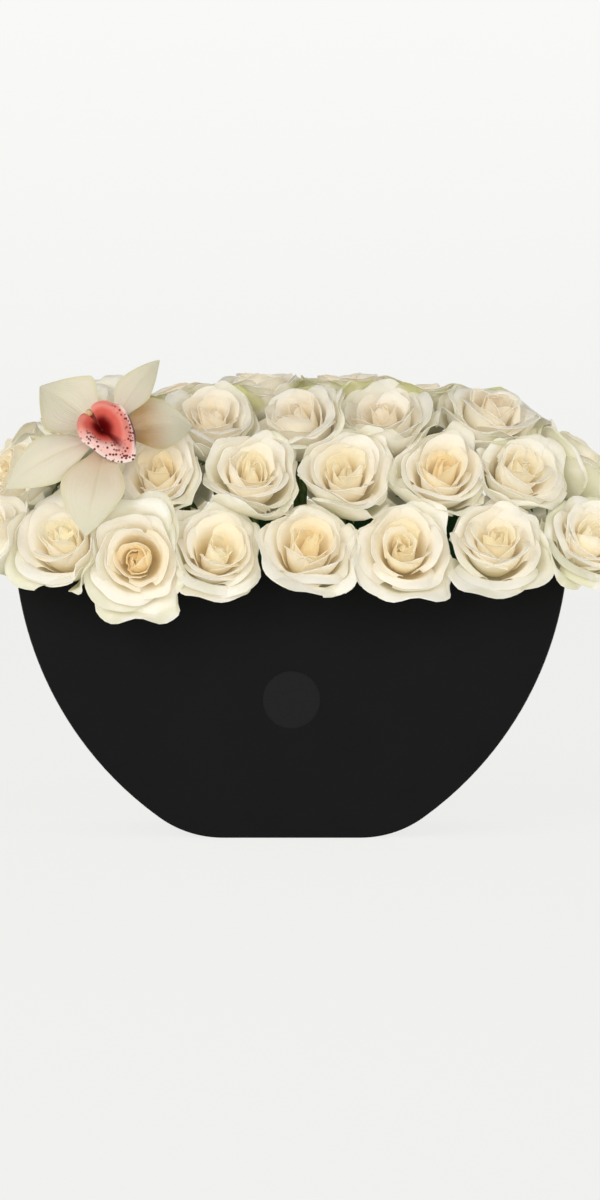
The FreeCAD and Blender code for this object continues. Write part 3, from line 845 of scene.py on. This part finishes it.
def makeLip():
    # a trumpet round the throat, open towards the column: u runs up its wall and out to the edge, v round
    # it. The wall first climbs and then flares, both as powers of u, with a groove down the front lobe, and
    # the edge turns back and ruffles in front
    b = lip
    u, v = np.linspace(0, 1, b["rows"])[:, None], np.linspace(-1, 1, b["cols"])[None]
    turn = v * b["angles"][-1]
    keys = ("reach", "height", "reflex")
    reach, height, reflex = (np.interp(np.abs(turn), b["angles"], b[key]) for key in keys)
    frill = smooth(*b["ruffleOver"], u) * (1 - smooth(*b["ruffleFade"], np.abs(turn))) * b["ruffle"]
    out = b["throatRadius"] + (reach - b["throatRadius"]) * u ** b["flare"]
    out = out + frill * np.sin(b["frillsOut"] * v + b["frillStart"])
    rise = height * (1 - (1 - u) ** b["climb"]) - reflex * smooth(*b["reflexOver"], u)
    rise = rise + frill * np.sin(b["frillsUp"] * v)
    keel = b["keel"] * np.exp(-(turn / b["keelWidth"]) ** 2)
    rise = rise - keel * smooth(*b["keelFrom"], u) * (1 - smooth(*b["keelTo"], u))
    angle = np.radians(turn - 90)
    sheet = np.stack([out * np.cos(angle), out * np.sin(angle), rise], axis=-1)[None]
    sheet = sheet + np.array(b["throat"])
    verts, faces = leafShells(sheet[:, :, ::-1], b["thickness"])
    shape = sheet.shape[:3]
    marks = dict(lipAlong=twice(np.broadcast_to(u, shape)), lipAcross=twice(np.broadcast_to(-v, shape)))
    uv = sheetUv(marks["lipAcross"], marks["lipAlong"])
    piece = meshPiece("orchid_lip_trumpet", onOrchid(verts), faces, "insert", lipFinish(),
                      uv, marks)
    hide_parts("orchid_lip")


lipColour = dict(throat=linear(122, 8, 12), wall=linear(222, 104, 90), lobe=linear(230, 142, 126),
                 pale=linear(238, 206, 196), rim=linear(238, 218, 208), edgeShadow=linear(84, 16, 20),
                 groove=linear(112, 18, 24), spots=linear(108, 16, 28))


def lipFinish():
    c = lipColour
    f = softFinish("orchidLip", 0.4, 0.4, 0.3, (0.002, 0.0012, 0.001))
    along, across = f.mark("lipAlong"), f.mark("lipAcross")
    beside = across * across
    front = 1 - beside.step(0.1, 0.4)
    leftHalf = 1 - across.step(-0.12, 0.08)
    colour = f.blend(along.step(0.28, 0.56), c["throat"], c["wall"])
    colour = f.blend(along.step(0.58, 0.85), colour, c["lobe"])
    colour = f.blend(leftHalf * along.step(0.5, 0.72) * front * 0.75, colour, c["pale"])
    colour = f.blend(along.step(0.86, 0.98) * front, colour, c["rim"])
    # painted shadow: a dark maroon band along the right part of the edge, standing for the shade under the
    # rim
    edge = along.step(0.93, 0.97) * across.step(0.02, 0.12) * (1 - across.step(0.3, 0.42))
    colour = f.blend(edge * 0.9, colour, c["edgeShadow"])
    groove = (1 - beside.step(0.0, 0.005)) * (1 - along.step(0.55, 0.9))
    colour = f.blend(groove * 0.8, colour, c["groove"])
    spots = f.node("ShaderNodeTexVoronoi", {"feature": "F1"}, i0=f.place(), i2=420.0)
    where = f.root.math("MAXIMUM", leftHalf, along.step(0.72, 0.84))
    dots = (1 - spots.step(0.3, 0.46)) * along.step(0.5, 0.66) * where * front
    colour = f.blend(dots, colour, c["spots"])
    veins = f.noise(f.stretched(f.uv(), (24.0, 1.2, 1.0)), 3.0, 3.0)
    f.set(Base_Color=colour, Normal=f.bump(veins, 0.25, 0.0008))
    return f


column = dict(
    length=12, radius=2.4, foot=5.0, reachBack=19.0, arch=0.5, ovary=8.0,
    along=[0, 0.25, 0.45, 0.75, 0.86, 0.95, 1.0],        # shares of the post, and of its radius there
    swell=[0.55, 0.85, 1.0, 0.85, 1.1, 0.95, 0.35],
    steps=25, sides=20,
)
pedicel = dict(radius=2.2, neck=0.5, run=(-14, 30, -34), tubeLength=48, reach=0.6, steps=12, sides=14)


def makeColumn():
    # the column is a round post that leans back from the throat, bowed by half a sine wave, with a swollen
    # cap; the pedicel is straight, into the tube
    c, stalk = column, pedicel
    s = np.linspace(0, 1, c["steps"])
    path = np.stack([0 * s, mix(c["foot"], c["reachBack"], s) + c["arch"] * np.sin(math.pi * s),
                     mix(-c["ovary"], c["length"], s)], axis=-1)
    radii = np.interp(s, c["along"], c["swell"]) * c["radius"] * mm
    postVerts, postFaces, share = tubes(onOrchid(path)[None], radii[None], c["sides"])
    neck = onOrchid(np.array([0, c["foot"] * stalk["neck"], stalk["radius"] - c["ovary"]]))
    mouth = (np.array(orchid["place"]) + stalk["run"]) * mm
    tip = mouth + unit(mouth - neck) * stalk["tubeLength"] * stalk["reach"] * mm
    path = mix(neck, tip, np.linspace(0, 1, stalk["steps"])[:, None])
    radii = np.full((1, stalk["steps"]), stalk["radius"] * mm)
    stalkVerts, stalkFaces, _ = tubes(path[None], radii, stalk["sides"])
    faces = postFaces + [f + len(postVerts) for f in stalkFaces]
    marks = dict(columnShare=np.concatenate([share, np.zeros(len(stalkVerts))]))
    piece = meshPiece("orchid_column_post", np.concatenate([postVerts, stalkVerts]), faces, "insert",
                      columnFinish(), marks=marks)
    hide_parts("orchid_column")


columnColour = dict(stalk=linear(150, 166, 92), post=linear(150, 48, 40), flecks=linear(196, 120, 96),
                    cap=linear(222, 184, 136))


def columnFinish():
    c = columnColour
    f = softFinish("orchidColumn", 0.4, 0.4, 0.2, (0.002, 0.0015, 0.001))
    share = f.mark("columnShare")
    colour = f.blend(share.step(0.1, 0.4), c["stalk"], c["post"])
    flecks = f.noise(f.place(), 320.0, 3.0)
    colour = f.blend(flecks.step(0.45, 0.7) * 0.3, colour, c["flecks"])
    f.set(Base_Color=f.blend(share.step(0.8, 0.9), colour, c["cap"]))
    f.set(Normal=f.bump(flecks, 0.2, 0.0005))
    return f


def makeOrchid():
    finish = tepalFinish()
    makeTepals("orchid_sepal_blades", "orchid_sepals", sepalBlades, finish)
    makeTepals("orchid_petal_blades", "orchid_petals", petalBlades, finish)
    makeLip()
    makeColumn()
    print("orchid made")


# the box's black paper: one skin over the faces, rounded at the edges and folded over the rim

wrap = dict(
    rimWidth=386, rimHeight=188, depth=120, sideRadius=244, flare=5.7, cornerRadius=75, wall=2.6,
    turnIn=15, paper=0.3,
    edge=1.2, leastEdge=0.4, tighten=0.3,      # the edges' radius gets less as the skin moves in
    rimWear=4, cornerWear=0.05,
    cornerSteps=14, sideSteps=26, foldSteps=11, insideSteps=6, longSteps=13, shortSteps=5, edgeSteps=7,
)


def wrapProfile():
    # half-width and height from the base round the corner arc and up the side arc, then a half circle over
    # the rim and down the inside; the third value is how far the skin has moved in from the outer face
    w = wrap
    flare = math.radians(w["flare"])
    sideX = w["rimWidth"] / 2 - w["sideRadius"] * math.cos(flare)
    sideZ = w["rimHeight"] + w["sideRadius"] * math.sin(flare)
    apart = w["sideRadius"] - w["cornerRadius"]
    cornerX = sideX + math.sqrt(apart ** 2 - (sideZ - w["cornerRadius"]) ** 2)
    joint = math.atan2(w["cornerRadius"] - sideZ, cornerX - sideX)
    fold = w["wall"] / 2
    foldZ = w["rimHeight"] - fold
    low = np.linspace(-math.pi / 2, joint, w["cornerSteps"])
    z = w["cornerRadius"] * (1 + np.sin(low))
    top = np.linspace(z[-1], foldZ, w["sideSteps"])[1:]
    over = np.linspace(0, math.pi, w["foldSteps"])[1:]
    down = np.linspace(foldZ, w["rimHeight"] - w["turnIn"], w["insideSteps"])[1:]
    z = np.concatenate([z, top, foldZ + fold * np.sin(over), down])
    outer, inside = np.zeros(len(low) + len(top)), np.full(len(down), w["wall"])
    moved = np.concatenate([outer, fold * (1 - np.cos(over)), inside])
    x = sideX + np.sqrt(w["sideRadius"] ** 2 - (sideZ - z) ** 2)
    x[:len(low)] = cornerX + w["cornerRadius"] * np.cos(low)
    return x, z, moved


def wrapRing():
    # once round a rounded rectangle: where along and across it a point is, from -1 to 1, and which way the
    # skin faces there. The first half is the front, a quarter circle, an end and a quarter circle, and the
    # second half is the first turned half round
    w = wrap
    run, side = np.linspace(-1, 1, w["longSteps"]), np.linspace(-1, 1, w["shortSteps"])
    quarter = np.linspace(0, 1, w["edgeSteps"])[1:-1] * math.pi / 2
    front, end, arc = np.ones(len(run)), np.ones(len(side)), np.ones(len(quarter))
    half = np.array([
        np.concatenate([run, arc, end, arc]),
        np.concatenate([-front, -arc, side, arc]),
        np.concatenate([0 * run, np.sin(quarter), end, np.cos(quarter)]),
        np.concatenate([-front, -np.cos(quarter), 0 * side, np.sin(quarter)]),
    ])
    return np.concatenate([half, -half], axis=1)


def makeWrap():
    # a ring for each height of the profile, as wide and deep as the box is there
    w = wrap
    x, z, moved = wrapProfile()
    alongX, alongY, outX, outY = wrapRing()
    bend = np.maximum(w["edge"] - moved * w["tighten"], w["leastEdge"])[:, None]
    halfX, halfY = (x - moved)[:, None], (w["depth"] / 2 - moved)[:, None]
    verts = np.stack([alongX * (halfX - bend) + outX * bend, alongY * (halfY - bend) + outY * bend,
                      np.broadcast_to(z[:, None], (len(z), len(outX)))], axis=-1) * mm
    faces = gridQuads(len(z), len(outX), ring=True)[:, ::-1]
    corners = np.where(np.abs(outX * outY) > w["cornerWear"], 1.0, 0.0)
    rim = smooth(w["rimHeight"] - w["rimWear"], w["rimHeight"], z)
    marks = dict(edgeWear=np.maximum(corners, rim[:, None]).ravel())
    piece = meshPiece("box_wrap", verts.reshape(-1, 3), [faces], "box", blackPaper,
                      marks=marks, sharpAngle=80)
    thick = piece.modifiers.new("paper", "SOLIDIFY")
    thick.thickness = w["paper"] * mm
    thick.offset = -1
    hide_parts("front_cover", "back_cover", "left_end_cover", "right_end_cover")
    print("box paper made")


paperColour = dict(dark=linear(14, 14, 15), pale=linear(17, 17, 18), rubbed=linear(64, 63, 62))


def paperFinish():
    c = paperColour
    f = Finish("blackPaper", Specular_IOR_Level=0.1)
    fibre = f.noise(f.place(), 1500.0, 5.0, 0.7)
    cloud = f.noise(f.place(), 25.0, 3.0)
    rub = f.mark("edgeWear") * fibre.step(0.45, 0.7) * 0.35
    colour = f.blend(cloud.step(0.3, 0.7), c["dark"], c["pale"])
    f.set(Base_Color=f.blend(rub, colour, c["rubbed"]), Roughness=0.6 + 0.12 * cloud)
    f.set(Normal=f.bump(fibre, 0.08, 0.0002))
    return f


# finishes for the pieces that keep their CAD shape

shades = dict(      # dark and pale, or clean and scuffed
    seal=(linear(18, 18, 19), linear(22, 22, 23)),
    board=(linear(118, 112, 104), linear(150, 144, 134)),
    foam=(linear(34, 70, 44), linear(46, 88, 54)),
    foamPores=linear(18, 42, 26),
    liner=(linear(40, 44, 42), linear(58, 62, 60)),
    tube=(linear(176, 200, 170), linear(196, 212, 190)),
    rubber=(linear(84, 112, 74), linear(108, 132, 98)),
)


def sealFinish():
    f = Finish("sealPaper", Roughness=0.4, Specular_IOR_Level=0.12)
    fibre = f.noise(f.place(), 900.0, 3.0)
    f.set(Base_Color=f.blend(fibre.step(0.3, 0.7), *shades["seal"]))
    f.set(Normal=f.bump(fibre, 0.05, 0.0002))
    return f


def boardFinish():
    f = Finish("greyBoard", Roughness=0.85, Specular_IOR_Level=0.2)
    speck = f.noise(f.place(), 700.0, 5.0, 0.7)
    f.set(Base_Color=f.blend(speck.step(0.35, 0.7), *shades["board"]))
    f.set(Normal=f.bump(speck, 0.2, 0.0003))
    return f


def foamFinish():
    f = Finish("wetFoam", Roughness=0.9, Specular_IOR_Level=0.15)
    pores = f.noise(f.place(), 800.0, 3.0, 0.7)
    cloud = f.noise(f.place(), 30.0, 3.0)
    colour = f.blend(cloud.step(0.3, 0.7), *shades["foam"])
    f.set(Base_Color=f.blend(1 - pores.step(0.3, 0.5), colour, shades["foamPores"]))
    f.set(Normal=f.bump(pores, 0.6, 0.0012))
    return f


def plasticFinish(name, shade, rough):
    f = Finish(name, Specular_IOR_Level=0.5)
    waves = f.noise(f.place(), 120.0, 2.0)
    scuffs = f.noise(f.place(), 420.0, 5.0, 0.7).step(0.5, 0.75)
    f.set(Base_Color=f.blend(scuffs * 0.6, *shades[shade]), Roughness=rough + 0.2 * scuffs)
    f.set(Normal=f.bump(waves, 0.04, 0.0006))
    return f


def dressNodes():
    board, foam = boardFinish(), foamFinish()
    finishes = dict(
        front_board=board, back_board=board, band_board=board, base_stiffener=board,
        base_sheet=blackPaper, front_seal=sealFinish(),
        foam_lower=foam, foam_left=foam, foam_right=foam, foam_crown=foam,
        liner_tray=plasticFinish("linerPlastic", "liner", 0.3),
        orchid_water_tube=plasticFinish("tubePlastic", "tube", 0.2),
        orchid_tube_cap=plasticFinish("tubeRubber", "rubber", 0.55),
    )
    for node, finish in finishes.items():
        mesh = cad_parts[node].data
        mesh.materials.clear()
        mesh.materials.append(finish.material)
    print("kept CAD shapes dressed:", len(finishes))


rosePetal, blackPaper = petalFinish(), paperFinish()
makeCamera()
makeStage()
makeLights()
makeRoses()
makeGreens()
makeOrchid()
makeWrap()
dressNodes()
